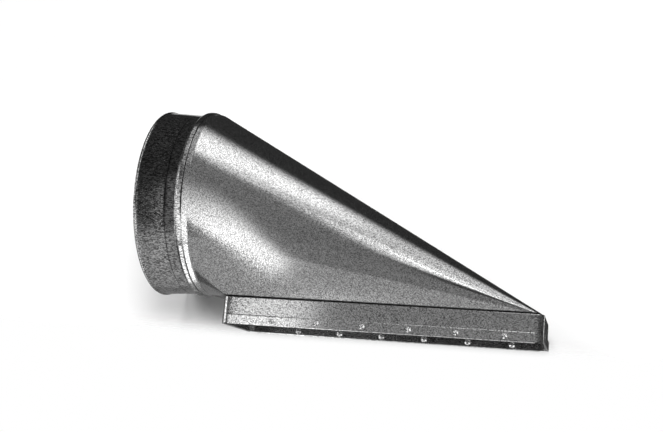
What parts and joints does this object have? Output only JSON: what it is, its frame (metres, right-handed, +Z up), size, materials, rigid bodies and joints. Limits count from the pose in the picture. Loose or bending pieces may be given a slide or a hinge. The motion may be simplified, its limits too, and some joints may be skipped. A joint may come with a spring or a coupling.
{
  "type": "stack boot",
  "caption": "Sheet-steel end boot that joins a round pipe to the end of a rectangular wall stack, with a beaded round collar and a hemmed, dimpled stack collar.",
  "frame": {"origin": "middle of the rectangular opening, in the plane of the stack collar's open rim", "axes": "+X along the long side of the stack opening, away from the round collar; +Z up from the stack rim towards the round collar's height; +Y across the boot"},
  "size_m": [0.3277, 0.1596, 0.1841],
  "materials": {
    "galvanised_sheet": "galvanised, fine grain, half gloss",
    "collar_strip": "galvanised, rolled, half gloss",
    "stack_strip": "galvanised, fine grain, half gloss"
  },
  "bodies": {
    "root": {"transition_body": "galvanised_sheet", "round_collar": "collar_strip", "stack_collar": "stack_strip"}
  },
  "joints": []
}
